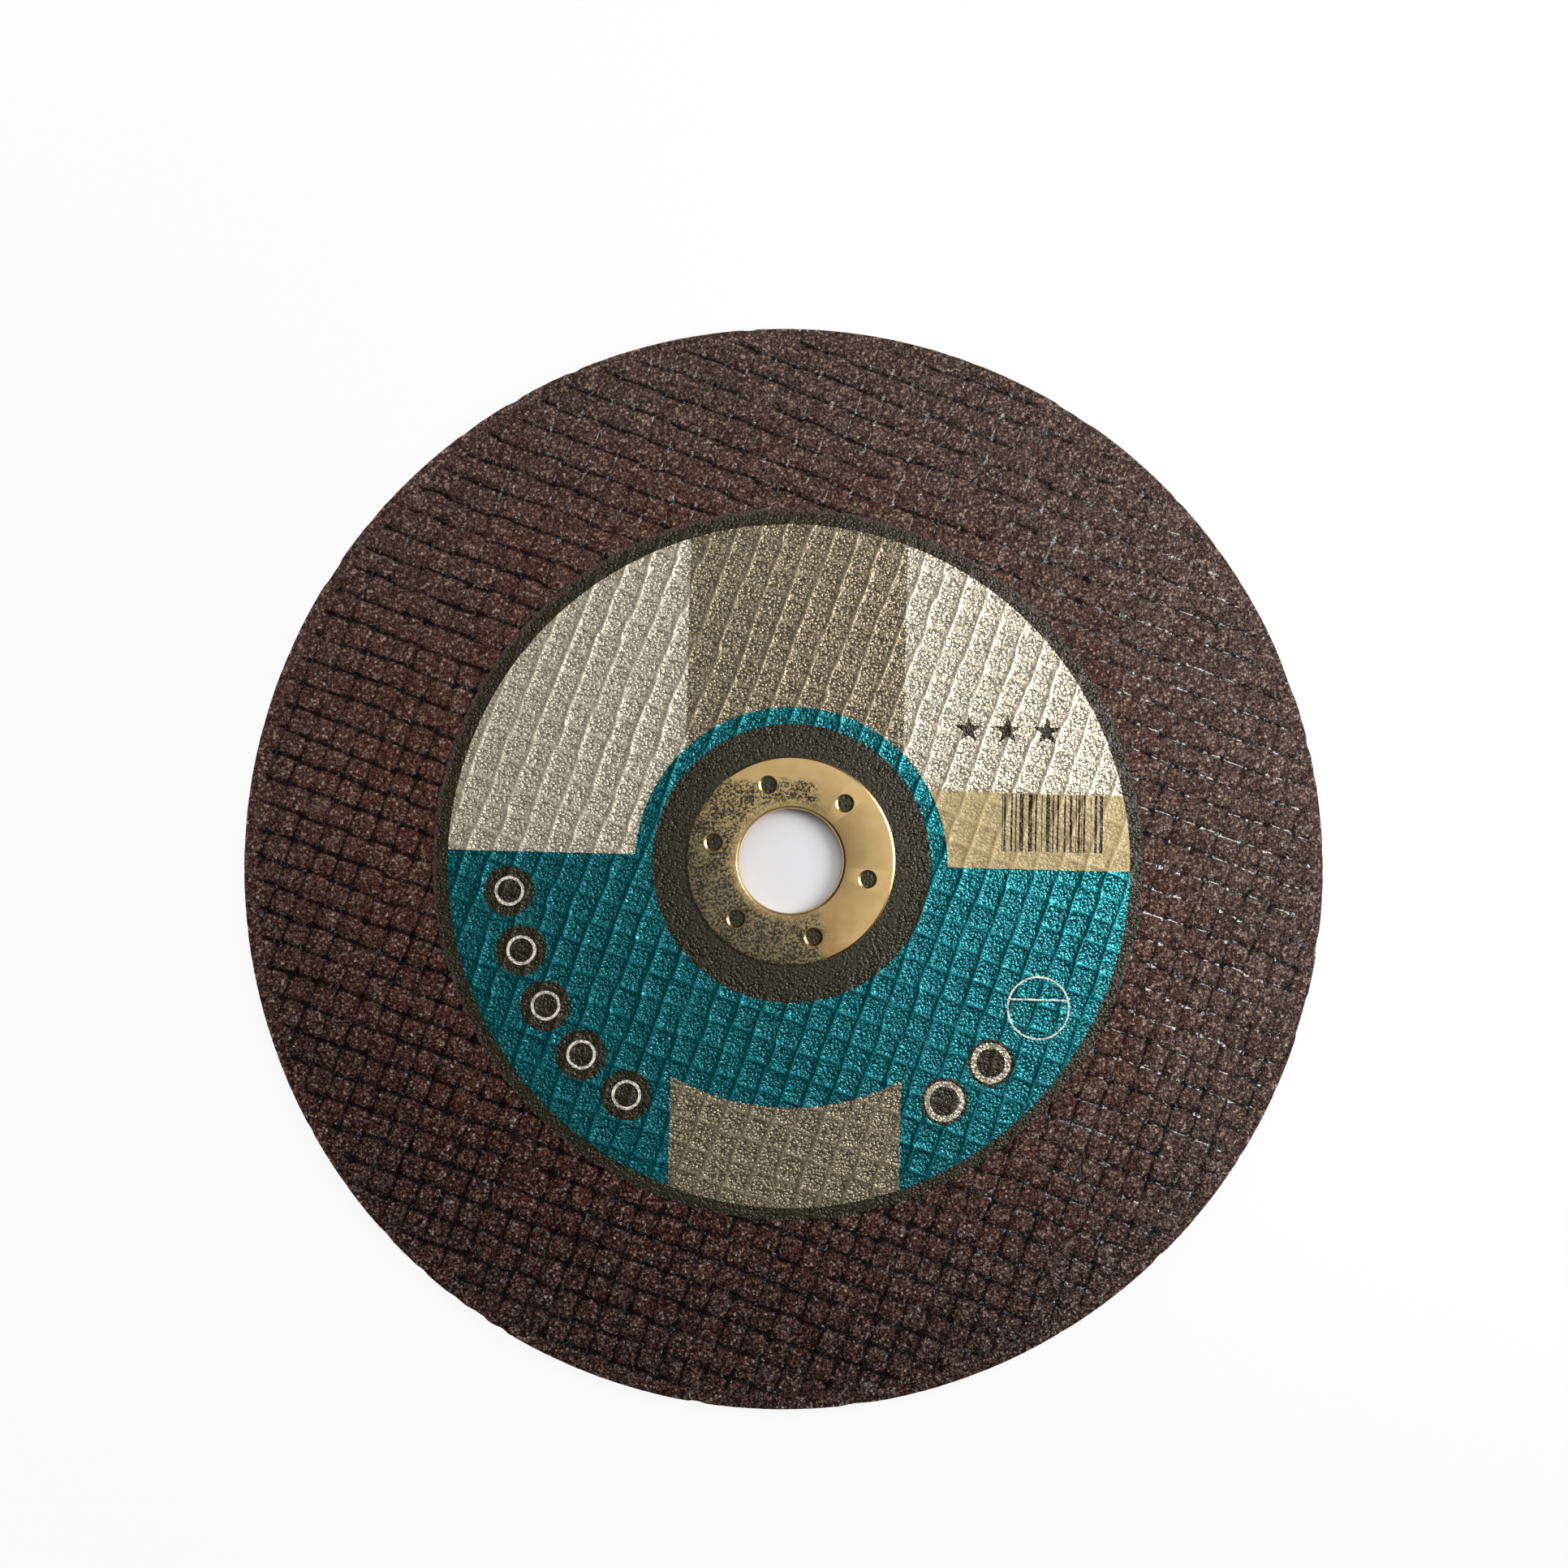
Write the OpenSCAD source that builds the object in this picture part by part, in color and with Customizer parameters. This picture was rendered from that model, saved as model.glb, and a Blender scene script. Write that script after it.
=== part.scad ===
// Cut-off wheel for an angle grinder: a flat reinforced abrasive disc with a printed label
// and a pressed steel ring in its bore. It lies on its back face, with the label up.

/* [Abrasive disc] */
// Outer diameter of the wheel
disc_d = 230; // [180:1:300]
// Thickness of the pressed abrasive, over the crowns of its cells
disc_t = 2.5; // [1.6:0.1:4]

/* [Mesh imprint] */
// Turn of the mesh, from the label's own level
mesh_turn = -20; // [-45:1:45]
// Spacing of the threads that run across
weft_pitch = 5.3; // [4.5:0.1:8]
// Spacing of the threads that run up and down
warp_pitch = 5.0; // [4.5:0.1:8]
// Width of the furrow that a thread leaves, at the surface
furrow_w = 1.1; // [0.6:0.1:2]
// Depth of that furrow
furrow_depth = 0.35; // [0.1:0.05:0.5]
// Plain land between the mesh's edge and the wheel's rim
rim_land = 2; // [1:0.5:6]
// How far a furrow runs in under the label's edge
furrow_tuck = 1; // [0.5:0.1:3]

/* [Label] */
// Outer diameter of the label
label_d = 152; // [120:1:170]
// Thickness of the label
label_t = 0.16; // [0.1:0.02:0.3]
// Depth of the lines that the threads press into the label
crease_depth = 0.08; // [0.02:0.01:0.08]
// Plain land between the creases' ends and the label's edge
label_land = 1; // [0.5:0.5:4]

/* [Centre ring] */
// Diameter of the arbor bore
bore_d = 22.23; // [16:0.01:25.4]
// Outer diameter of the ring's flange
ring_d = 44.6; // [42:0.1:60]
// Thickness of the ring's steel sheet
ring_t = 0.4; // [0.3:0.05:0.6]
// Radius of the rolled edge at the bore's mouth
mouth_r = 0.35; // [0.1:0.05:0.5]
// Radius of the flange's rim
rim_r = 0.15; // [0.05:0.05:0.3]
// Number of keying holes in the flange
hole_count = 6; // [3:1:8]
// Diameter of a keying hole
hole_d = 3.3; // [2:0.1:4]
// Diameter of the circle that the keying holes lie on
hole_circle_d = 33.7; // [32:0.1:36]
// Angle of the first keying hole
hole_turn = 46.6; // [0:0.1:60]
// Gap between the ring's collar and what it passes through
collar_clearance = 0.1; // [0.05:0.05:0.3]

/* [Hidden] */
$fn = 128;

disc_r = disc_d / 2;
label_r = label_d / 2;
ring_r = ring_d / 2;
bore_r = bore_d / 2;
// The label lies on the disc, and the ring's flange on the label
label_top = disc_t + label_t;
ring_top = label_top + ring_t;
collar_r = bore_r + ring_t;
passage_r = collar_r + collar_clearance;
mesh_r = disc_r - rim_land;
// A cutting shape stands this far past the face that it opens
cut_margin = 0.2;

// A V-shaped furrow along +X from start to end, with its mouth at z = 0
module furrow(start, end, width, depth) {
    flare = 1 + cut_margin / depth;
    translate([start, 0, 0])
        rotate([90, 0, 90])
            linear_extrude(end - start)
                polygon([
                    [-flare * width / 2, cut_margin],
                    [0, -depth],
                    [flare * width / 2, cut_margin],
                ]);
}

// Half the chord that a circle of radius r cuts from a line at the given offset, or 0 outside it
function half_chord(r, offset) = sqrt(max(r * r - offset * offset, 0));

// One set of parallel furrows over a ring from inner_r to outer_r, with a thread on each multiple of pitch
module furrow_set(pitch, inner_r, outer_r, width, depth) {
    last = floor((outer_r - width) / pitch);
    for (i = [-last:last]) {
        reach = half_chord(outer_r, i * pitch);
        gap = half_chord(inner_r, i * pitch);
        translate([0, i * pitch, 0]) {
            if (gap > 0) {
                furrow(gap, reach, width, depth);
                furrow(-reach, -gap, width, depth);
            } else {
                furrow(-reach, reach, width, depth);
            }
        }
    }
}

// Resin-bonded abrasive, with the furrows of the glass mesh in its front outside the label
module abrasive_disc() {
    color([0.26, 0.19, 0.18])
        rotate(mesh_turn)
            difference() {
                cylinder(h = disc_t, r = disc_r);
                translate([0, 0, -cut_margin])
                    cylinder(h = disc_t + 2 * cut_margin, r = passage_r);
                translate([0, 0, disc_t])
                    furrow_set(weft_pitch, label_r - furrow_tuck, mesh_r, furrow_w, furrow_depth);
                translate([0, 0, disc_t])
                    rotate(90)
                        furrow_set(warp_pitch, label_r - furrow_tuck, mesh_r, furrow_w, furrow_depth);
            }
}

// Printed foil, creased along the mesh's up and down threads outside the ring
module label() {
    color([0.05, 0.52, 0.55])
        rotate(mesh_turn)
            difference() {
                translate([0, 0, disc_t])
                    cylinder(h = label_t, r = label_r);
                translate([0, 0, disc_t - cut_margin])
                    cylinder(h = label_t + 2 * cut_margin, r = passage_r);
                translate([0, 0, label_top])
                    rotate(90)
                        furrow_set(warp_pitch, ring_r, label_r - label_land, furrow_w, crease_depth);
            }
}

// Section of the ring: a flange on the label and a collar down through the bore
module ring_section() {
    difference() {
        union() {
            translate([bore_r, label_top])
                square([ring_r - bore_r, ring_t]);
            translate([bore_r, 0])
                square([ring_t, ring_top]);
        }
        // The mouth's rolled edge
        difference() {
            translate([bore_r - cut_margin, ring_top - mouth_r])
                square([mouth_r + cut_margin, mouth_r + cut_margin]);
            translate([bore_r + mouth_r, ring_top - mouth_r])
                circle(mouth_r);
        }
        // The flange's rounded rim
        difference() {
            translate([ring_r - rim_r, ring_top - rim_r])
                square([rim_r + cut_margin, rim_r + cut_margin]);
            translate([ring_r - rim_r, ring_top - rim_r])
                circle(rim_r);
        }
    }
}

// Plated steel ring pressed from sheet, with the arbor bore and the keying holes
module centre_ring() {
    color([0.66, 0.54, 0.33])
        difference() {
            rotate_extrude()
                ring_section();
            for (i = [0:hole_count - 1])
                rotate(hole_turn + i * 360 / hole_count)
                    translate([hole_circle_d / 2, 0, label_top - cut_margin])
                        cylinder(h = ring_t + 2 * cut_margin, d = hole_d);
        }
}

abrasive_disc();
label();
centre_ring();
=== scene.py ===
# A flat cut-off wheel for an angle grinder, lying on its back: a resin-bonded abrasive disc, the printed
# foil label pressed on its front, and the plated steel ring that lines its bore.
import math

import bmesh
import bpy
from mathutils import Matrix, Vector, noise


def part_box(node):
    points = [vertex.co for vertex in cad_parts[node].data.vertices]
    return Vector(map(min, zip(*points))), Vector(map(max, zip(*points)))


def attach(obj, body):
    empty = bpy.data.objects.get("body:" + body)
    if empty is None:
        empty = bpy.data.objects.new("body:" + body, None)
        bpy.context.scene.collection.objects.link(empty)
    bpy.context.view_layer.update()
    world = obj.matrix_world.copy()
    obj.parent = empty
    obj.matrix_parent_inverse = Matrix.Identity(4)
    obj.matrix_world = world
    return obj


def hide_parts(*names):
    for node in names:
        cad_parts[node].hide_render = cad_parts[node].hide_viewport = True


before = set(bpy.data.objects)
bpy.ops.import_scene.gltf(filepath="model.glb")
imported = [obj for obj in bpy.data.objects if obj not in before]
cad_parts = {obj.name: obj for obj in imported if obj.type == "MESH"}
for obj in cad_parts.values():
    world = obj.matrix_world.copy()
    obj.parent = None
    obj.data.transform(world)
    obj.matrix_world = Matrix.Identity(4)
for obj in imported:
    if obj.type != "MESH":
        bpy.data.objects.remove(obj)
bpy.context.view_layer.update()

# Abrasive disc
# Aluminium-oxide grit in phenolic resin, pressed flat over a woven glass mesh and cured.
# Each thread leaves a furrow, the grit stands between them in rounded cells, and the rim is left as trimmed.
mm = 0.001
disc_radius, _, disc_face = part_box("abrasive_disc")[1]
label_radius, _, label_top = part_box("label")[1]
ring_radius, _, ring_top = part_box("centre_ring")[1]
bore_radius = 22.23 / 2 * mm
ring_sheet = 0.4 * mm
collar_gap = 0.1 * mm
passage_radius = bore_radius + ring_sheet + collar_gap

mesh_turn = math.radians(-20)
weft_pitch = 5.3 * mm
warp_pitch = 5.0 * mm
mesh_radius = disc_radius - 2 * mm
furrow_depth = 0.5 * mm
furrow_half = 0.65 * mm
cell_crown = 0.06 * mm
cell_step = 0.05 * mm
grit_height = 0.07 * mm
grit_size = 0.8 * mm
jog_share = 0.07
sway_width = 0.55 * mm
sway_length = 24 * mm
# Without a seed, the noise that sways the threads would differ from run to run
sway_seed = 1
noise.seed_set(sway_seed)


def smooth_step(low, high, value):
    """Rises smoothly from 0 at low to 1 at high."""
    share = min(max((value - low) / (high - low), 0.0), 1.0)
    return share * share * (3 - 2 * share)


def jog(along, across, seed):
    """How far the thread nearest to a place is pulled aside there: by a step of its own along each cell."""
    thread = round(across)
    crossing = round(along)
    before = noise.cell(Vector((crossing - 0.5, thread + 0.5, seed)))
    after = noise.cell(Vector((crossing + 0.5, thread + 0.5, seed)))
    share = smooth_step(-0.1, 0.1, along - crossing)
    near = 1 - smooth_step(0.1, 0.5, abs(across - thread))
    return jog_share * near * (before + share * (after - before))


def mesh_place(u, v):
    """The place of a point of the mesh, counted in cells along the weft and along the warp."""
    along = (u + jog(v, u, 0.5)) * warp_pitch
    across = (v + jog(u, v, 9.5)) * weft_pitch
    x = math.cos(mesh_turn) * along - math.sin(mesh_turn) * across
    y = math.sin(mesh_turn) * along + math.cos(mesh_turn) * across
    pull = noise.noise_vector(Vector((x, y, 0)) / sway_length) * sway_width
    return x + pull.x, y + pull.y


def grit(x, y):
    """Height of the grit at a place, from 0 to 1."""
    return 0.5 + 0.5 * noise.noise(Vector((x, y, 0)) / grit_size)


def cell_edge(u, v):
    """Shares of the way from a cell's middle to its warp edge, its weft edge and its rounded outline."""
    to_warp = abs(2 * (u % 1) - 1)
    to_weft = abs(2 * (v % 1) - 1)
    return to_warp, to_weft, (to_warp ** 5 + to_weft ** 5) ** 0.2


def furrow(u, v, x, y):
    """Share of a furrow's full section at a point: 1 on a thread, 0 on a cell and past the mesh's edge."""
    inside = (1 - cell_edge(u, v)[2]) * weft_pitch / 2
    meshed = 1 - smooth_step(mesh_radius - 1 * mm, mesh_radius, math.hypot(x, y))
    half = furrow_half * (1 - 0.15 * y / disc_radius)
    return meshed * (1 - smooth_step(0.1 * half, half, inside))


def abrasive_relief(u, v, x, y):
    """How far the abrasive lies behind its highest grit: little on a cell's rounded crown, most in a furrow.
    The press went in deeper along the weft at the left, and along the warp at the bottom."""
    to_warp, to_weft, edge = cell_edge(u, v)
    weft_depth = 0.8 - 0.14 * x / disc_radius - 0.04 * y / disc_radius
    warp_depth = 0.6 - 0.1 * x / disc_radius - 0.28 * y / disc_radius
    weft_share = smooth_step(-0.15, 0.15, to_weft - to_warp)
    depth = warp_depth + weft_share * (weft_depth - warp_depth)
    depth *= furrow_depth * (0.9 + 0.6 * noise.noise(Vector((x, y, 7 * mm)) / (6 * mm)))
    cell = Vector((math.floor(u) + 0.5, math.floor(v) + 0.5, 4.5))
    step = cell_step * (0.5 + 0.5 * noise.cell(cell))
    return depth * furrow(u, v, x, y) + cell_crown * edge ** 2 + step + grit_height * grit(x, y)


def mesh_sheet(bm, stops, inner, outer, height):
    """A sheet between two radii, with grid lines at the given shares of each cell and a height at each point.
    It notes on each point how deep it lies in a furrow, and whether that furrow is the weft's."""
    count = len(stops)
    cells = 2 * math.ceil(outer / warp_pitch)
    threads = bm.verts.layers.float.new("furrow")
    wefts = bm.verts.layers.float.new("weft")
    grid = bmesh.ops.create_grid(bm, x_segments=cells * count, y_segments=cells * count, size=1)
    for vert in grid["verts"]:
        steps = [round((share + 1) / 2 * cells * count) for share in vert.co.xy]
        u, v = [step // count + stops[step % count] - cells / 2 for step in steps]
        x, y = mesh_place(u, v)
        vert.co = Vector((x, y, height(u, v, x, y)))
        vert[threads] = furrow(u, v, x, y)
        to_warp, to_weft, _ = cell_edge(u, v)
        vert[wefts] = to_weft > to_warp
    outside = [v for v in bm.verts if not inner <= v.co.to_2d().length <= outer]
    bmesh.ops.delete(bm, geom=outside, context="VERTS")


def thicken(bm, level):
    """Closes a sheet into a slab whose other side is flat, at the given level."""
    back = bmesh.ops.extrude_face_region(bm, geom=bm.faces[:])["geom"]
    for vert in back:
        if isinstance(vert, bmesh.types.BMVert):
            vert.co.z = level
    bmesh.ops.recalc_face_normals(bm, faces=bm.faces)


def piece_from(bm, name):
    """Makes a scene object of a bmesh, at the origin."""
    mesh = bpy.data.meshes.new(name)
    bm.to_mesh(mesh)
    bm.free()
    piece = bpy.data.objects.new(name, mesh)
    bpy.context.collection.objects.link(piece)
    return piece


def combine(piece, steps):
    """Joins, cuts or keeps what is shared with each tool in turn, and makes the result the piece's mesh."""
    for operation, tool in steps:
        step = piece.modifiers.new(operation.lower(), "BOOLEAN")
        step.operation = operation
        step.solver = "MANIFOLD"
        step.object = tool
    shaped = piece.evaluated_get(bpy.context.evaluated_depsgraph_get())
    mesh = bpy.data.meshes.new_from_object(shaped)
    mesh.materials.clear()
    piece.modifiers.clear()
    piece.data = mesh
    for _, tool in steps:
        bpy.data.objects.remove(tool)


def drum(name, radius, low, high, segments=180, levels=1, uneven=None):
    """A closed drum from low to high, with rows of points up its side, each moved in by what uneven gives."""
    bm = bmesh.new()
    bmesh.ops.create_circle(bm, cap_ends=True, segments=segments, radius=radius)
    for vert in bm.verts:
        vert.co.z = low
    edges = bm.edges[:]
    for level in range(levels):
        risen = bmesh.ops.extrude_edge_only(bm, edges=edges)["geom"]
        verts = {v for v in risen if isinstance(v, bmesh.types.BMVert)}
        edges = [e for e in risen if isinstance(e, bmesh.types.BMEdge) and verts.issuperset(e.verts)]
        for vert in verts:
            vert.co.z = low + (high - low) * (level + 1) / levels
    bmesh.ops.contextual_create(bm, geom=edges)
    if uneven:
        for vert in bm.verts:
            vert.co.xy *= 1 - uneven(vert.co) / radius
    bmesh.ops.recalc_face_normals(bm, faces=bm.faces)
    return piece_from(bm, name)


def rim_wear(place):
    """How far the trimmed rim falls short at a place: fine grit everywhere, and a nibble here and there."""
    fine = noise.noise(place / (1.1 * mm))
    nibble = smooth_step(0.28, 0.6, noise.noise(place / (4.5 * mm)))
    return (0.07 + 0.07 * fine + 0.28 * nibble) * mm


# A cutting shape stands this far past what it cuts
cut_margin = 1 * mm
sheet_margin = 4 * mm
mid_level = 0.45 * disc_face
front_sheet = bmesh.new()
mesh_sheet(
    front_sheet,
    (0, 0.06, 0.13, 0.28, 0.5, 0.72, 0.87, 0.94),
    label_radius - sheet_margin,
    disc_radius + sheet_margin,
    lambda u, v, x, y: disc_face - abrasive_relief(u, v, x, y),
)
thicken(front_sheet, mid_level)
abrasive = piece_from(front_sheet, "abrasive_wheel")

# The back, on the table, has the same mesh pressed in half as deep
back_sheet = bmesh.new()
mesh_sheet(
    back_sheet,
    (0, 0.11, 0.5, 0.89),
    0,
    disc_radius + sheet_margin,
    lambda u, v, x, y: 0.5 * abrasive_relief(u, v, x, y),
)
thicken(back_sheet, mid_level + 0.2 * mm)
back_slab = piece_from(back_sheet, "back_slab")

label_seat = drum("label_seat", label_radius - 0.6 * mm, 0.5 * mid_level, disc_face)
rim_tool = drum(
    "rim_tool", disc_radius, -cut_margin, disc_face + cut_margin, segments=900, levels=6, uneven=rim_wear
)
passage_tool = drum("passage_tool", passage_radius, -cut_margin, disc_face + cut_margin)
combine(abrasive, [
    ("UNION", back_slab),
    ("UNION", label_seat),
    ("INTERSECT", rim_tool),
    ("DIFFERENCE", passage_tool),
])
abrasive.data.shade_smooth()
abrasive.data.set_sharp_from_angle(angle=math.radians(60))


def linear(code):
    """An sRGB hex colour as linear RGBA."""
    parts = [int(code[i:i + 2], 16) / 255 for i in (1, 3, 5)]
    return [p / 12.92 if p <= 0.04045 else ((p + 0.055) / 1.055) ** 2.4 for p in parts] + [1]


def add(tree, kind, inputs, **settings):
    """Adds a node with its settings, and sets or links its inputs, given by name or number."""
    node = tree.nodes.new("ShaderNode" + kind)
    for name, value in settings.items():
        setattr(node, name, value)
    for key, value in inputs.items():
        if isinstance(value, bpy.types.NodeSocket):
            tree.links.new(value, node.inputs[key])
        else:
            node.inputs[key].default_value = value
    return node


def new_material(name):
    """An empty material with its node tree and its Principled shader."""
    material = bpy.data.materials.new(name)
    material.use_nodes = True
    return material, material.node_tree, material.node_tree.nodes["Principled BSDF"]


# A Mix node's own sockets for numbers, vectors and colours. A Map Range node takes its value at 0, the range
# that it comes from at 1 and 2, and the range that it goes to at 3 and 4.
number_a, number_b, number_out = 2, 3, 0
vector_a, vector_b, vector_out = 4, 5, 1
colour_a, colour_b, colour_out = 6, 7, 2

# Brown fused alumina in phenolic resin, as pressed: dark and granular, each grain with its own shade, tilt
# and gloss, redder by the label and greyer towards the rim, with a painted grey sheen towards the upper
# right, painted shade in the gaps towards the bottom, and painted shade in the furrows that makes the deep
# ones almost black, where bare thread glints here and there
grain_size = 0.6 * mm
crumb_size = 0.45 * mm
blotch_size = 16 * mm
bead_length = 1.8 * mm
sheen_side = (0.8, 0.6, 0)
shaded_side = (-0.34, -0.94, 0)
material, tree, shader = new_material("resin_bonded_alumina")
place = add(tree, "TexCoord", {}).outputs["Object"]
axes = add(tree, "SeparateXYZ", {0: place})
stir = add(tree, "TexNoise", {"Vector": place, "Scale": 1 / grain_size}).outputs["Color"]
stirred = {0: stir, 1: (0.8 * mm,) * 3, 2: place}
stirred = add(tree, "VectorMath", stirred, operation="MULTIPLY_ADD").outputs[0]
grains = add(tree, "TexVoronoi", {"Vector": stirred, "Scale": 1 / grain_size})
from_grain = grains.outputs["Distance"]
chance = add(tree, "SeparateColor", {0: grains.outputs["Color"]})
blotch = add(tree, "TexNoise", {"Vector": place, "Scale": 1 / blotch_size, "Detail": 2.0}).outputs["Fac"]
reach = add(tree, "VectorMath", {0: place}, operation="LENGTH").outputs["Value"]
greying_and_sheen = add(tree, "MapRange", {0: reach, 1: label_radius, 2: disc_radius, 3: -0.55, 4: 0.05}).outputs[0]
greying_and_sheen = add(tree, "Math", {0: greying_and_sheen, 1: blotch}, operation="ADD").outputs[0]
# Painted sheen: the grit turns greyer towards the upper right, where the lamp's light would be mirrored
side = add(tree, "VectorMath", {0: place, 1: sheen_side}, operation="DOT_PRODUCT").outputs["Value"]
side = add(tree, "MapRange", {0: side, 1: -75 * mm, 2: 75 * mm}).outputs[0]
greying_and_sheen = add(tree, "Math", {0: side, 1: 0.7, 2: greying_and_sheen}, operation="MULTIPLY_ADD", use_clamp=True).outputs[0]
body = {0: greying_and_sheen, colour_a: linear("#693c2e"), colour_b: linear("#604d45")}
body = add(tree, "Mix", body, data_type="RGBA").outputs[colour_out]
pale = add(tree, "MapRange", {0: chance.outputs[0], 1: 0.5, 2: 1.0}).outputs[0]
pale = add(tree, "Math", {0: pale, 1: 2.0}, operation="POWER").outputs[0]
lit = {0: pale, colour_a: body, colour_b: linear("#a48878")}
lit = add(tree, "Mix", lit, data_type="RGBA").outputs[colour_out]
crumbs = add(tree, "TexNoise", {"Vector": place, "Scale": 1 / crumb_size, "Detail": 2.0}).outputs["Fac"]
gap = add(tree, "Math", {0: crumbs, 1: -0.9, 2: from_grain}, operation="MULTIPLY_ADD").outputs[0]
gap = add(tree, "MapRange", {0: gap, 1: -0.25, 2: 0.2, 3: 0.0, 4: 0.85}).outputs[0]
# Painted shade: the gaps between the grains darken towards the bottom, away from the lamps
painted_shade_low = add(tree, "VectorMath", {0: place, 1: shaded_side}, operation="DOT_PRODUCT").outputs["Value"]
painted_shade_low = add(tree, "MapRange", {0: painted_shade_low, 1: 20 * mm, 2: 95 * mm, 4: 0.2}).outputs[0]
gap = add(tree, "Math", {0: gap, 1: painted_shade_low}, operation="ADD", use_clamp=True).outputs[0]
shade = {0: gap, colour_a: lit, colour_b: linear("#1c0d09")}
shade = add(tree, "Mix", shade, data_type="RGBA").outputs[colour_out]
sunk = add(tree, "Attribute", {}, attribute_name="furrow").outputs["Fac"]
# Painted shade: the furrows are darkened by their depth, the deepest almost to black
deep = {0: axes.outputs["Z"], 1: disc_face - 0.24 * mm, 2: disc_face - 0.44 * mm, 3: 0.15, 4: 1.0}
deep = add(tree, "MapRange", deep).outputs[0]
deep = add(tree, "Math", {0: deep, 1: sunk}, operation="MULTIPLY").outputs[0]
surface = {0: deep, colour_a: shade, colour_b: linear("#0a0504")}
surface = add(tree, "Mix", surface, data_type="RGBA").outputs[colour_out]
tree.links.new(surface, shader.inputs["Base Color"])

# Beads of bare thread at the bottom of the furrows: on the warp towards the top, on the weft to the right
beads = add(tree, "TexNoise", {"Vector": place, "Scale": 1 / bead_length, "Detail": 1.0}).outputs["Fac"]
beads = add(tree, "MapRange", {0: beads, 1: 0.47, 2: 0.57}).outputs[0]
bottom = add(tree, "MapRange", {0: sunk, 1: 0.65, 2: 0.95}).outputs[0]
beads = add(tree, "Math", {0: beads, 1: bottom}, operation="MULTIPLY").outputs[0]
weft = add(tree, "Attribute", {}, attribute_name="weft").outputs["Fac"]
weft_bare = add(tree, "MapRange", {0: axes.outputs["X"], 1: 10 * mm, 2: 75 * mm}).outputs[0]
warp_bare = add(tree, "MapRange", {0: axes.outputs["Y"], 1: 20 * mm, 2: 70 * mm, 4: 0.8}).outputs[0]
bare = add(tree, "Mix", {0: weft, number_a: warp_bare, number_b: weft_bare}).outputs[number_out]
beads = add(tree, "Math", {0: beads, 1: bare}, operation="MULTIPLY").outputs[0]
flash = add(tree, "MapRange", {0: chance.outputs[1], 1: 0.72, 2: 0.95}).outputs[0]
gloss = add(tree, "MapRange", {0: flash, 3: 0.6, 4: 0.25}).outputs[0]
gloss = add(tree, "Mix", {0: beads, number_a: gloss, number_b: 0.16}).outputs[number_out]
tree.links.new(gloss, shader.inputs["Roughness"])
shine = add(tree, "Math", {0: beads, 1: flash}, operation="MAXIMUM").outputs[0]
shine = add(tree, "MapRange", {0: shine, 3: 0.12, 4: 0.9}).outputs[0]
tree.links.new(shine, shader.inputs["Specular IOR Level"])
shader.inputs["IOR"].default_value = 1.6

# Each grain is tilted its own way. A bare thread is round, and the side of it that stands out of the bond
# faces up and to the right.
warp_lean = (0.45, -0.2, 0)
weft_lean = (0.22, 0.13, 0)
lump = add(tree, "Math", {0: from_grain, 1: -0.5, 2: crumbs}, operation="MULTIPLY_ADD").outputs[0]
rough = add(tree, "MapRange", {0: beads, 3: 1.0, 4: 0.25}).outputs[0]
bump = add(tree, "Bump", {"Strength": rough, "Distance": 0.5 * mm, "Height": lump}).outputs[0]
tilt = {0: grains.outputs["Color"], 1: (0.5, 0.5, 0.5)}
tilt = add(tree, "VectorMath", tilt, operation="SUBTRACT").outputs[0]
loose = add(tree, "MapRange", {0: beads, 3: 0.75, 4: 0.15}).outputs[0]
tilt = add(tree, "VectorMath", {0: tilt, 1: loose, 2: bump}, operation="MULTIPLY_ADD").outputs[0]
lean = {0: weft, vector_a: warp_lean, vector_b: weft_lean}
lean = add(tree, "Mix", lean, data_type="VECTOR").outputs[vector_out]
lean = add(tree, "VectorMath", {0: lean, 1: beads, 2: tilt}, operation="MULTIPLY_ADD").outputs[0]
facet = add(tree, "VectorMath", {0: lean}, operation="NORMALIZE").outputs[0]
tree.links.new(facet, shader.inputs["Normal"])
abrasive.data.materials.append(material)
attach(abrasive, "root")
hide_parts("abrasive_disc")

# Label
# Metallised foil, printed and laid in the press before the mix, so the mesh's threads stand up under it.
# It is cut out round, lies from the bore to the dark border, and its edge is sunk into the abrasive.
ridge_height = 0.36 * mm
ridge_half = 0.75 * mm
weft_ridge = 0.5
peel_height = 0.03 * mm
flat_band = 4.5 * mm
label_margin = 3 * mm


def label_height(u, v, x, y):
    """Height of the foil: flat by the ring, and raised over the threads beyond it, mostly over the warp."""
    reach = math.hypot(x, y)
    warp = abs(u - round(u)) * warp_pitch
    weft = abs(v - round(v)) * weft_pitch
    over_warp = 1 - smooth_step(0, ridge_half, warp)
    over_weft = weft_ridge - weft_ridge * smooth_step(0, ridge_half, weft)
    pressed = 0.8 + 0.7 * noise.noise(Vector((x, y, 3 * mm)) / (7 * mm))
    free = smooth_step(ring_radius + flat_band, ring_radius + 2 * flat_band, reach)
    sunk = smooth_step(label_radius - 4.5 * mm, label_radius - 2 * mm, reach)
    low = label_top - 0.02 * mm - free * (0.07 * mm + peel_height * grit(x, y)) - 0.03 * mm * sunk
    return low + free * (1 - 0.7 * sunk) * pressed * max(over_warp, over_weft) * ridge_height


label_sheet = bmesh.new()
mesh_sheet(
    label_sheet,
    (0, 0.07, 0.15, 0.3, 0.5, 0.7, 0.85, 0.93),
    passage_radius - label_margin,
    label_radius + label_margin,
    label_height,
)
thicken(label_sheet, disc_face - 0.3 * mm)
label = piece_from(label_sheet, "printed_label")


def label_cut(place):
    """How far the foil's edge falls short at a place, where the grit has eaten into it."""
    return (0.35 + 0.5 * noise.noise(place.to_2d().to_3d() / (0.8 * mm))) * mm


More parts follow.
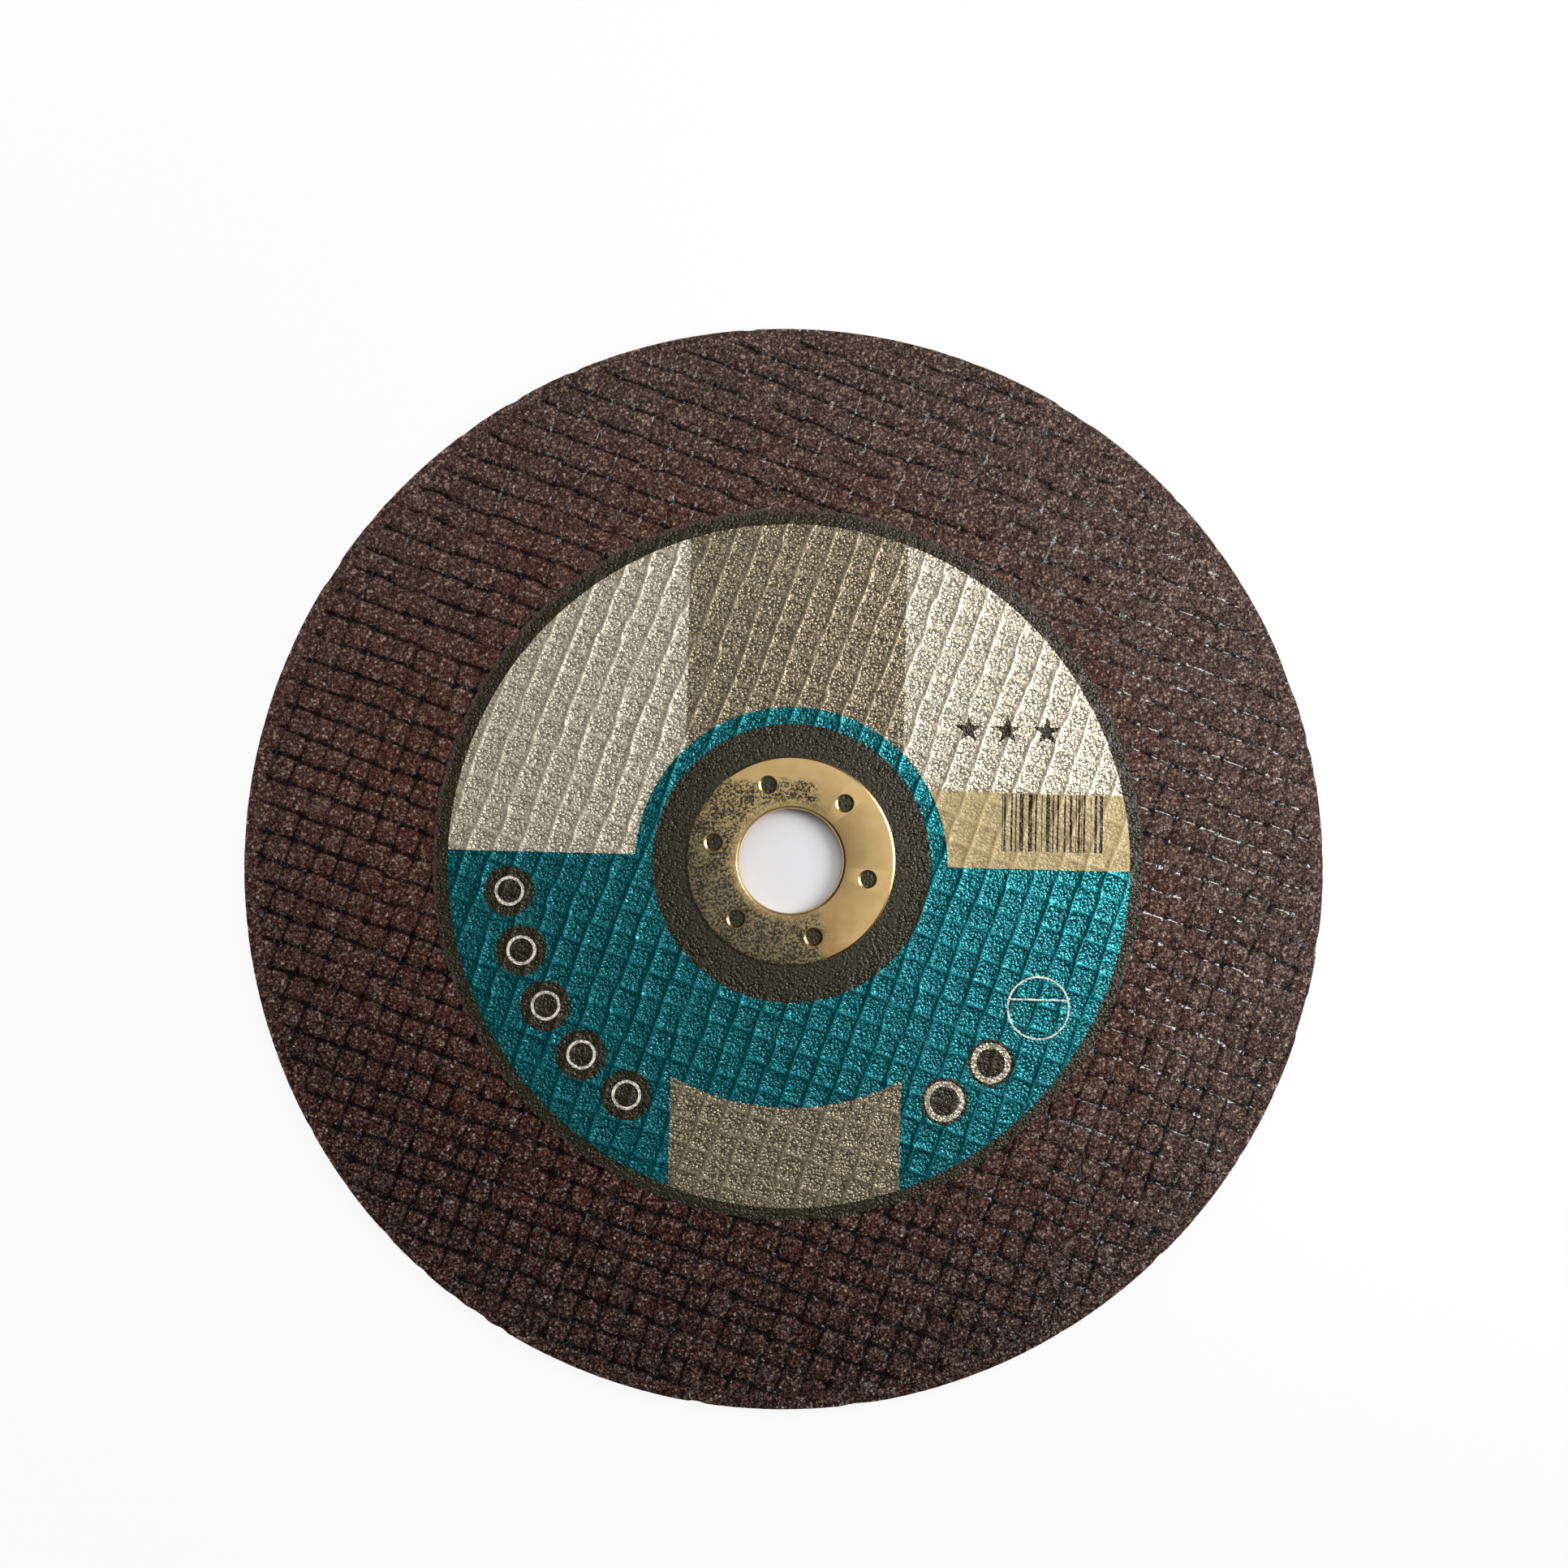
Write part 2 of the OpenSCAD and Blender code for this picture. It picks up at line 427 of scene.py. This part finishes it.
label_tool = drum(
    "label_tool", label_radius, disc_face, label_top + cut_margin, segments=900, uneven=label_cut
)
label_passage = drum("label_passage", passage_radius, disc_face - cut_margin, label_top + 2 * cut_margin)
combine(label, [("INTERSECT", label_tool), ("DIFFERENCE", label_passage)])
label.data.shade_smooth()
label.data.set_sharp_from_angle(angle=math.radians(60))

# Printed metallised foil, embossed by the grit under it: bare foil glitters, transparent inks keep its
# glitter and tint it, opaque inks dull it, and a clear lacquer gives white glints, most of them on the foil.
# The print is laid out in mm, a little turned and shifted on the wheel.
dome_size = 0.6 * mm
dome_height = 0.3 * mm
stir_size = 0.7 * mm
bleed_size = 0.9 * mm
print_turn = math.radians(-1.45)
print_shift = (0.25 * mm, -0.43 * mm, 0)
material, tree, shader = new_material("printed_foil")
place = add(tree, "TexCoord", {}).outputs["Object"]
on_print = add(
    tree,
    "Mapping",
    {"Vector": place, "Location": print_shift, "Rotation": (0, 0, print_turn), "Scale": (mm, mm, 1)},
    vector_type="TEXTURE",
).outputs[0]
print_axes = add(tree, "SeparateXYZ", {0: on_print})
right = print_axes.outputs["X"]
up = print_axes.outputs["Y"]
reach = add(tree, "VectorMath", {0: on_print}, operation="LENGTH").outputs["Value"]
down = add(tree, "Math", {0: up, 1: -1.0}, operation="MULTIPLY").outputs[0]
# Angle from the label's lowest point, positive to the right
swing = add(tree, "Math", {0: right, 1: down}, operation="ARCTAN2").outputs[0]
swing_size = add(tree, "Math", {0: swing}, operation="ABSOLUTE").outputs[0]


def field(*bounds):
    """Mask of a printed field: 1 where each coordinate lies between its two limits."""
    mask = None
    for coordinate, low, high in bounds:
        inside = {0: coordinate, 1: (low + high) / 2, 2: (high - low) / 2}
        inside = add(tree, "Math", inside, operation="COMPARE")
        if mask:
            inside = add(tree, "Math", {0: mask, 1: inside.outputs[0]}, operation="MULTIPLY")
        mask = inside.outputs[0]
    return mask


# Spots in two rows along the lower edge, at equal steps from the lowest point
spot_circle = 60.0
spot_step = math.radians(12.2)
first_spot = math.radians(34.1)
spot_turn = add(tree, "Math", {0: swing_size, 1: first_spot}, operation="SUBTRACT").outputs[0]
spot_turn = {0: spot_turn, 1: spot_step / 2, 2: -spot_step / 2}
spot_turn = add(tree, "Math", spot_turn, operation="WRAP").outputs[0]
spot_across = add(tree, "Math", {0: spot_turn, 1: spot_circle}, operation="MULTIPLY").outputs[0]
spot_out = add(tree, "Math", {0: reach, 1: spot_circle}, operation="SUBTRACT").outputs[0]
spot_place = add(tree, "CombineXYZ", {0: spot_out, 1: spot_across}).outputs[0]
from_spot = add(tree, "VectorMath", {0: spot_place}, operation="LENGTH").outputs["Value"]
left_row = (swing, -first_spot - 4.5 * spot_step, -first_spot + spot_step / 2)
right_row = (swing, first_spot - spot_step / 2, first_spot + 1.5 * spot_step)

# A ringed circle above the right-hand row
circle_centre = (53.4, -29.6, 0)
circle_place = add(tree, "VectorMath", {0: on_print, 1: circle_centre}, operation="SUBTRACT").outputs[0]
from_circle = add(tree, "VectorMath", {0: circle_place}, operation="LENGTH").outputs["Value"]
circle_up = add(tree, "SeparateXYZ", {0: circle_place}).outputs["Y"]

# Three stars in line. A star's side leans this far from its tip's axis, and its tip lies at this radius.
star_pitch = 8.5
middle_star = (45.7, 29.5)
star_tip = 3.2
star_lean = math.radians(72)
tip_turn = math.radians(36)
star_across = add(tree, "Math", {0: right, 1: middle_star[0]}, operation="SUBTRACT").outputs[0]
star_near = {0: star_across, 1: star_pitch / 2, 2: -star_pitch / 2}
star_near = add(tree, "Math", star_near, operation="WRAP").outputs[0]
star_up = add(tree, "Math", {0: up, 1: middle_star[1]}, operation="SUBTRACT").outputs[0]
star_place = add(tree, "CombineXYZ", {0: star_near, 1: star_up}).outputs[0]
from_star = add(tree, "VectorMath", {0: star_place}, operation="LENGTH").outputs["Value"]
star_turn = add(tree, "Math", {0: star_near, 1: star_up}, operation="ARCTAN2").outputs[0]
star_turn = add(tree, "Math", {0: star_turn, 1: tip_turn, 2: -tip_turn}, operation="WRAP").outputs[0]
star_turn = add(tree, "Math", {0: star_turn}, operation="ABSOLUTE").outputs[0]
side_turn = add(tree, "Math", {0: star_turn, 1: star_lean}, operation="SUBTRACT").outputs[0]
side_share = add(tree, "Math", {0: side_turn}, operation="COSINE").outputs[0]
from_side = add(tree, "Math", {0: side_share, 1: from_star}, operation="MULTIPLY").outputs[0]
star_row = (star_across, -1.5 * star_pitch, 1.5 * star_pitch)

# Upright bars of uneven width
bars = add(tree, "TexNoise", {"W": right, "Scale": 1.05, "Detail": 2.0}, noise_dimensions="1D").outputs["Fac"]

# Grit has bled over the foil's edge here and there
bleed = add(tree, "TexNoise", {"Vector": place, "Scale": 1 / bleed_size, "Detail": 2.0}).outputs["Fac"]
ragged = add(tree, "Math", {0: bleed, 1: 3.0, 2: reach}, operation="MULTIPLY_ADD").outputs[0]
ragged = add(tree, "Math", {0: ragged, 1: 1.5}, operation="SUBTRACT").outputs[0]

silver, grey, teal, gold = "#dcd2bb", "#9d9077", "#0b7d86", "#b09c70"
black, white, brown = "#252007", "#e6e1d3", "#3f2f28"
# Share of metal, roughness and depth of the embossing under each finish
bare_foil = (0.65, 0.3, 0.8)
grey_foil = (0.65, 0.3, 1.0)
tinted_foil = (0.85, 0.28, 0.65)
opaque_ink = (0.0, 0.4, 0.9)
dull_ink = (0.25, 0.5, 0.45)
dull_grit = (0.0, 0.6, 0.7)
# A limit that lies past the label's edge
outside = 80.0
layers = [
    # Column at the top
    (field((right, -23.3, 23.3), (up, 0, outside)), grey, grey_foil),
    # Bar at the right, and the uneven bars on it
    (field((right, 0, outside), (up, -0.1, 16.2)), gold, dull_ink),
    (field((right, 44.8, 68.2), (up, 3.7, 16.0), (bars, 0.52, 1.0)), black, opaque_ink),
    # Lower half, with its edge a little higher at the left
    (field((right, -outside, 0), (up, -outside, 1.0)), teal, tinted_foil),
    (field((right, 0, outside), (up, -outside, -0.1)), teal, tinted_foil),
    # Block at the bottom
    (field((right, -24.4, 24.4), (up, -outside, 0), (reach, 51.7, outside)), grey, grey_foil),
    # Ringed spots
    (field((from_spot, -1, 5.3), left_row), black, opaque_ink),
    (field((from_spot, 2.5, 3.1), left_row), white, opaque_ink),
    (field((from_spot, -1, 5.0), right_row), black, opaque_ink),
    (field((from_spot, 3.1, 4.3), right_row), silver, bare_foil),
    # Ringed circle and the line across it
    (field((from_circle, 6.4, 6.8)), white, opaque_ink),
    (field((from_circle, -1, 6.6), (circle_up, 1.6, 1.95)), white, opaque_ink),
    # Stars
    (
        field((from_side, -1, star_tip * math.cos(star_lean)), star_row, (star_up, -star_tip, star_tip)),
        black,
        opaque_ink,
    ),
    # Rings about the hub, and the border
    (field((reach, -1, 33.3)), teal, tinted_foil),
    (field((reach, -1, 29.7)), black, opaque_ink),
    (field((reach, 72.7, outside)), black, opaque_ink),
    (field((ragged, 75.3, outside)), brown, dull_grit),
]
colour = linear(silver)
finish = (*bare_foil, 1)
for mask, ink, ink_finish in layers:
    mixed = {0: mask, colour_a: colour, colour_b: linear(ink)}
    colour = add(tree, "Mix", mixed, data_type="RGBA").outputs[colour_out]
    mixed = {0: mask, colour_a: finish, colour_b: (*ink_finish, 1)}
    finish = add(tree, "Mix", mixed, data_type="RGBA").outputs[colour_out]
metal, rough, peel = add(tree, "SeparateColor", {0: finish}).outputs
tree.links.new(metal, shader.inputs["Metallic"])
tree.links.new(rough, shader.inputs["Roughness"])

# Embossing: fine domes, smoother where the foil is taut over a thread and by the ring, and painted light and
# shade
# on the print: lighter on the dome tops and darker in the gaps between them
stir = add(tree, "TexNoise", {"Vector": place, "Scale": 1 / stir_size}).outputs["Color"]
stirred = {0: stir, 1: (0.7 * mm,) * 3, 2: place}
stirred = add(tree, "VectorMath", stirred, operation="MULTIPLY_ADD").outputs[0]
domes = add(tree, "TexVoronoi", {"Vector": stirred, "Scale": 1 / dome_size}).outputs["Distance"]
dome = add(tree, "Math", {0: domes, 1: domes}, operation="MULTIPLY").outputs[0]
thread = add(tree, "Attribute", {}, attribute_name="furrow").outputs["Fac"]
taut = add(tree, "MapRange", {0: thread, 1: 0.3, 2: 0.9, 3: 1.0, 4: 0.35}).outputs[0]
peel = add(tree, "Math", {0: peel, 1: taut}, operation="MULTIPLY").outputs[0]
clear = add(tree, "MapRange", {0: reach, 1: 23.0, 2: 27.0, 3: 0.5, 4: 1.0}).outputs[0]
peel = add(tree, "Math", {0: peel, 1: clear}, operation="MULTIPLY").outputs[0]
bump = add(tree, "Bump", {"Strength": peel, "Distance": dome_height, "Height": dome}, invert=True)
tree.links.new(bump.outputs[0], shader.inputs["Normal"])
tree.links.new(bump.outputs[0], shader.inputs["Coat Normal"])
# Painted light and shade: the print is lighter on each dome's top and darker in the gaps between domes
dome_shading = add(tree, "MapRange", {0: domes, 1: 0.25, 2: 0.65, 3: 1.2, 4: 0.5}).outputs[0]
shaded_print = {0: peel, colour_a: colour, colour_b: dome_shading}
shaded_print = add(tree, "Mix", shaded_print, data_type="RGBA", blend_type="MULTIPLY").outputs[colour_out]
tree.links.new(shaded_print, shader.inputs["Base Color"])
lacquer = add(tree, "MapRange", {0: metal, 3: 0.25, 4: 0.45}).outputs[0]
tree.links.new(lacquer, shader.inputs["Coat Weight"])
shader.inputs["Coat Roughness"].default_value = 0.18
label.data.materials.append(material)
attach(label, "root")
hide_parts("label")

# Centre ring
# Steel sheet blanked, pierced with keying holes, drawn into a collar, zinc plated and passivated yellow.
# It is pressed into the bore over the label, and resin has bled over part of its face and tarnished it.
mouth_radius = 0.7 * mm
mouth_steps = 6
rim_width = 0.4 * mm
rim_drop = 0.17 * mm
collar_radius = bore_radius + ring_sheet
ring_profile = [(bore_radius, 0), (bore_radius, ring_top - mouth_radius)]
for step in range(1, mouth_steps + 1):
    turn = math.radians(180 - 90 * step / mouth_steps)
    ring_profile.append((
        bore_radius + mouth_radius + mouth_radius * math.cos(turn),
        ring_top - mouth_radius + mouth_radius * math.sin(turn),
    ))
ring_profile += [(ring_radius - rim_width, ring_top), (ring_radius, ring_top - rim_drop)]
ring_profile += [(ring_radius, label_top), (collar_radius, label_top), (collar_radius, 0)]


def turned(name, profile, segments):
    """A solid turned about the Z axis from its closed profile of radius and height."""
    bm = bmesh.new()
    verts = [bm.verts.new((radius, 0, height)) for radius, height in profile]
    edges = [bm.edges.new((verts[i - 1], verts[i])) for i in range(len(verts))]
    bmesh.ops.spin(
        bm,
        geom=verts + edges,
        axis=(0, 0, 1),
        cent=(0, 0, 0),
        angle=math.tau,
        steps=segments,
        use_merge=True,
    )
    bmesh.ops.remove_doubles(bm, verts=bm.verts, dist=0.0001 * mm)
    bmesh.ops.recalc_face_normals(bm, faces=bm.faces)
    return piece_from(bm, name)


ring = turned("steel_ring", ring_profile, 240)
# Keying holes, each with a dished edge
hole_count = 6
hole_radius = 1.55 * mm
dish_radius = hole_radius + 0.45 * mm
dish_depth = 0.22 * mm
hole_circle = 33.7 / 2 * mm
hole_turn = math.radians(46.6)
hole_step = math.radians(60)
hole_low = label_top - 0.5 * mm
hole_high = ring_top + 0.5 * mm
hole_profile = [(0, hole_low), (hole_radius, hole_low), (hole_radius, ring_top - dish_depth)]
hole_profile += [(dish_radius, ring_top), (dish_radius, hole_high), (0, hole_high)]
hole_tools = []
for index in range(hole_count):
    tool = turned(f"hole_tool_{index}", hole_profile, 48)
    turn = hole_turn + index * hole_step
    tool.data.transform(Matrix.Translation((hole_circle * math.cos(turn), hole_circle * math.sin(turn), 0)))
    hole_tools.append(("DIFFERENCE", tool))
combine(ring, hole_tools)
ring.data.shade_smooth()
ring.data.set_sharp_from_angle(angle=math.radians(18))

# Yellow-passivated zinc on steel: a satin straw-gold metal, dulled and freckled brown where resin has bled
# over it, which is less by the mouth and none at the right, with painted shade that darkens that film towards
# the lower left, and coppery in a patch low down
drift_size = 5 * mm
drift_width = 3.5 * mm
speck_size = 0.6 * mm
cloud_size = 3 * mm
material, tree, shader = new_material("passivated_steel")
place = add(tree, "TexCoord", {}).outputs["Object"]
axes = add(tree, "SeparateXYZ", {0: place})
across, along, _ = axes.outputs
reach = add(tree, "VectorMath", {0: place}, operation="LENGTH").outputs["Value"]
drift = add(tree, "TexNoise", {"Vector": place, "Scale": 1 / drift_size, "Detail": 3.0}).outputs["Fac"]
drift = add(tree, "MapRange", {0: drift, 3: -drift_width, 4: drift_width}).outputs[0]
side = add(tree, "Math", {0: across, 1: drift}, operation="ADD").outputs[0]
side = {0: side, 1: 8.5 * mm, 2: 5.5 * mm}
side = add(tree, "MapRange", side, interpolation_type="SMOOTHSTEP").outputs[0]
height = add(tree, "Math", {0: along, 1: drift}, operation="ADD").outputs[0]
height = {0: height, 1: 17.8 * mm, 2: 16.4 * mm}
height = add(tree, "MapRange", height, interpolation_type="SMOOTHSTEP").outputs[0]
stain = add(tree, "Math", {0: side, 1: height}, operation="MULTIPLY").outputs[0]
away = {0: reach, 1: bore_radius + 0.6 * mm, 2: bore_radius + 2.8 * mm, 3: 0.3, 4: 1.0}
away = add(tree, "MapRange", away).outputs[0]
stain = add(tree, "Math", {0: stain, 1: away}, operation="MULTIPLY").outputs[0]
# The dished edge of each keying hole is rubbed clean
turn = add(tree, "Math", {0: along, 1: across}, operation="ARCTAN2").outputs[0]
turn = add(tree, "Math", {0: turn, 1: hole_turn}, operation="SUBTRACT").outputs[0]
turn = add(tree, "Math", {0: turn, 1: hole_step / 2, 2: -hole_step / 2}, operation="WRAP").outputs[0]
sideways = add(tree, "Math", {0: turn, 1: hole_circle}, operation="MULTIPLY").outputs[0]
outward = {0: reach, 1: math.hypot(hole_circle, ring_top)}
outward = add(tree, "Math", outward, operation="SUBTRACT").outputs[0]
from_hole = add(tree, "CombineXYZ", {0: outward, 1: sideways}).outputs[0]
from_hole = add(tree, "VectorMath", {0: from_hole}, operation="LENGTH").outputs["Value"]
rubbed = {0: from_hole, 1: dish_radius - 0.1 * mm, 2: dish_radius + 0.15 * mm}
rubbed = add(tree, "MapRange", rubbed).outputs[0]
stain = add(tree, "Math", {0: stain, 1: rubbed}, operation="MULTIPLY").outputs[0]
specks = {"Vector": place, "Scale": 1 / speck_size, "Detail": 4.0, "Roughness": 0.8}
specks = add(tree, "TexNoise", specks).outputs["Fac"]
cloud = add(tree, "TexNoise", {"Vector": place, "Scale": 1 / cloud_size, "Detail": 4.0}).outputs["Fac"]
freckle = add(tree, "Math", {0: cloud, 1: 0.25, 2: specks}, operation="MULTIPLY_ADD").outputs[0]
freckle = add(tree, "MapRange", {0: freckle, 1: 0.58, 2: 0.635}).outputs[0]
freckle = add(tree, "Math", {0: freckle, 1: stain}, operation="MULTIPLY").outputs[0]
plate = {0: cloud, colour_a: linear("#eacd96"), colour_b: linear("#d5ad6c")}
plate = add(tree, "Mix", plate, data_type="RGBA").outputs[colour_out]
low = {0: along, 1: -7 * mm, 2: -15 * mm}
low = add(tree, "MapRange", low, interpolation_type="SMOOTHSTEP").outputs[0]
near = {0: across, 1: 15 * mm, 2: 7 * mm}
near = add(tree, "MapRange", near, interpolation_type="SMOOTHSTEP").outputs[0]
copper = add(tree, "Math", {0: low, 1: near}, operation="MULTIPLY").outputs[0]
copper = add(tree, "Math", {0: copper, 1: cloud}, operation="MULTIPLY").outputs[0]
plate = {0: copper, colour_a: plate, colour_b: linear("#8f5a34")}
plate = add(tree, "Mix", plate, data_type="RGBA").outputs[colour_out]
# Painted shade: the resin film is darker towards the lower left, away from the lamps
shade = add(tree, "Math", {0: across, 1: along}, operation="ADD").outputs[0]
shade = add(tree, "MapRange", {0: shade, 1: 4 * mm, 2: -20 * mm}).outputs[0]
film_with_shade = {0: shade, colour_a: linear("#dcc489"), colour_b: linear("#a3946f")}
film_with_shade = add(tree, "Mix", film_with_shade, data_type="RGBA").outputs[colour_out]
dulled = {0: stain, colour_a: plate, colour_b: film_with_shade}
dulled = add(tree, "Mix", dulled, data_type="RGBA").outputs[colour_out]
stained = {0: freckle, colour_a: dulled, colour_b: linear("#231b13")}
stained = add(tree, "Mix", stained, data_type="RGBA").outputs[colour_out]
tree.links.new(stained, shader.inputs["Base Color"])
bare = add(tree, "MapRange", {0: freckle, 3: 1.0, 4: 0.2}).outputs[0]
tree.links.new(bare, shader.inputs["Metallic"])
gloss = add(tree, "MapRange", {0: stain, 3: 0.28, 4: 0.45}).outputs[0]
tree.links.new(gloss, shader.inputs["Roughness"])
pits = add(tree, "Math", {0: specks, 1: stain}, operation="MULTIPLY").outputs[0]
bump = add(tree, "Bump", {"Strength": 0.5, "Distance": 0.05 * mm, "Height": pits})
tree.links.new(bump.outputs[0], shader.inputs["Normal"])
ring.data.materials.append(material)
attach(ring, "root")
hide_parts("centre_ring")

# Floor
# A sheet of matt white paper, wide enough to fill the view from any side, that takes the wheel's soft shadow.
# In the bore it shows as it is lit, and round the wheel it goes over to the white of the background.
floor_half = 4
bm = bmesh.new()
bmesh.ops.create_grid(bm, x_segments=1, y_segments=1, size=floor_half)
for vert in bm.verts:
    vert.co.z = -0.01 * mm
floor = piece_from(bm, "paper_floor")
material, tree, shader = new_material("matt_white_paper")
shader.inputs["Base Color"].default_value = linear("#dcdde2")
shader.inputs["Roughness"].default_value = 0.9
ray = add(tree, "LightPath", {}).outputs
seen = {0: ray["Is Camera Ray"], 1: ray["Is Glossy Ray"]}
seen = add(tree, "Math", seen, operation="MAXIMUM").outputs[0]
seen = {0: seen, 1: ray["Is Transmission Ray"]}
seen = add(tree, "Math", seen, operation="MAXIMUM").outputs[0]
place = add(tree, "TexCoord", {}).outputs["Object"]
reach = add(tree, "VectorMath", {0: place}, operation="LENGTH").outputs["Value"]
near = add(tree, "MapRange", {0: reach, 1: 30 * mm, 2: 100 * mm, 3: 0.0, 4: 0.92}).outputs[0]
far = add(tree, "MapRange", {0: reach, 1: 200 * mm, 2: 600 * mm, 3: 0.0, 4: 0.08}).outputs[0]
whiteness = add(tree, "Math", {0: near, 1: far}, operation="ADD").outputs[0]
whiteness = add(tree, "Math", {0: seen, 1: whiteness}, operation="MULTIPLY").outputs[0]
glow = add(tree, "Emission", {"Color": (1, 1, 1, 1), "Strength": 1.0}).outputs[0]
shown = add(tree, "MixShader", {0: whiteness, 1: shader.outputs[0], 2: glow}).outputs[0]
tree.links.new(shown, tree.nodes["Material Output"].inputs["Surface"])
floor.data.materials.append(material)

# Light and camera
# A small window lamp stands close by at the right and a wide one at the far side, so the lower left is dark.
# The foil mirrors a dim room with pale walls and a bright patch overhead. The camera sees that room white.
# The camera looks almost straight down, a little from the lower left.
scene = bpy.context.scene
lamp_colour = (1.0, 0.98, 0.95)
# Place and width in m, power in W, and whether the lamp shows in what is glossy
lamps = {
    "right_window": ((0.26, 0.06, 0.2), 0.18, 1.0, True),
    "far_window": ((-0.12, 0.34, 0.3), 0.7, 2.5, False),
}
for name, (place, width, power, mirrored) in lamps.items():
    lamp = bpy.data.lights.new(name, "AREA")
    lamp.size = width
    lamp.energy = power
    lamp.color = lamp_colour
    window = bpy.data.objects.new(name, lamp)
    scene.collection.objects.link(window)
    window.visible_glossy = mirrored
    window.location = place
    window.rotation_euler = (-window.location).to_track_quat("-Z", "Y").to_euler()

world = bpy.data.worlds.new("room")
scene.world = world
world.use_nodes = True
tree = world.node_tree
facing = add(tree, "TexCoord", {}).outputs["Generated"]
rise = add(tree, "SeparateXYZ", {0: facing}).outputs["Z"]
wall = {0: rise, 1: 0.02, 2: 0.15, 3: 1.0, 4: 0.03}
wall = add(tree, "MapRange", wall, interpolation_type="SMOOTHSTEP").outputs[0]
overhead = Vector((0.34, 0.12, 1)).normalized()
patch = add(tree, "VectorMath", {0: facing, 1: overhead}, operation="DOT_PRODUCT").outputs["Value"]
patch = {0: patch, 1: 0.91, 2: 0.985, 3: 0.0, 4: 1.35}
patch = add(tree, "MapRange", patch, interpolation_type="SMOOTHSTEP").outputs[0]
room = add(tree, "Math", {0: patch, 1: wall}, operation="ADD").outputs[0]
seen = add(tree, "LightPath", {}).outputs["Is Camera Ray"]
room = add(tree, "Mix", {0: seen, number_a: room, number_b: 1.0}).outputs[number_out]
tree.links.new(room, tree.nodes["Background"].inputs["Strength"])
tree.nodes["Background"].inputs["Color"].default_value = (1, 1, 1, 1)

camera_data = bpy.data.cameras.new("camera")
camera_data.lens = 40.1
camera_data.sensor_width = 36
camera = bpy.data.objects.new("camera", camera_data)
scene.collection.objects.link(camera)
camera.location = Vector((-17.2, -2.1, 374.3)) * mm
aim = Vector((-1.3, 16.5, 0)) * mm
forward = (aim - camera.location).normalized()
sideways = forward.cross(Vector((0, 1, 0))).normalized()
upward = sideways.cross(forward)
camera.rotation_euler = Matrix((sideways, upward, -forward)).transposed().to_euler()
scene.camera = camera
scene.view_settings.view_transform = "Standard"
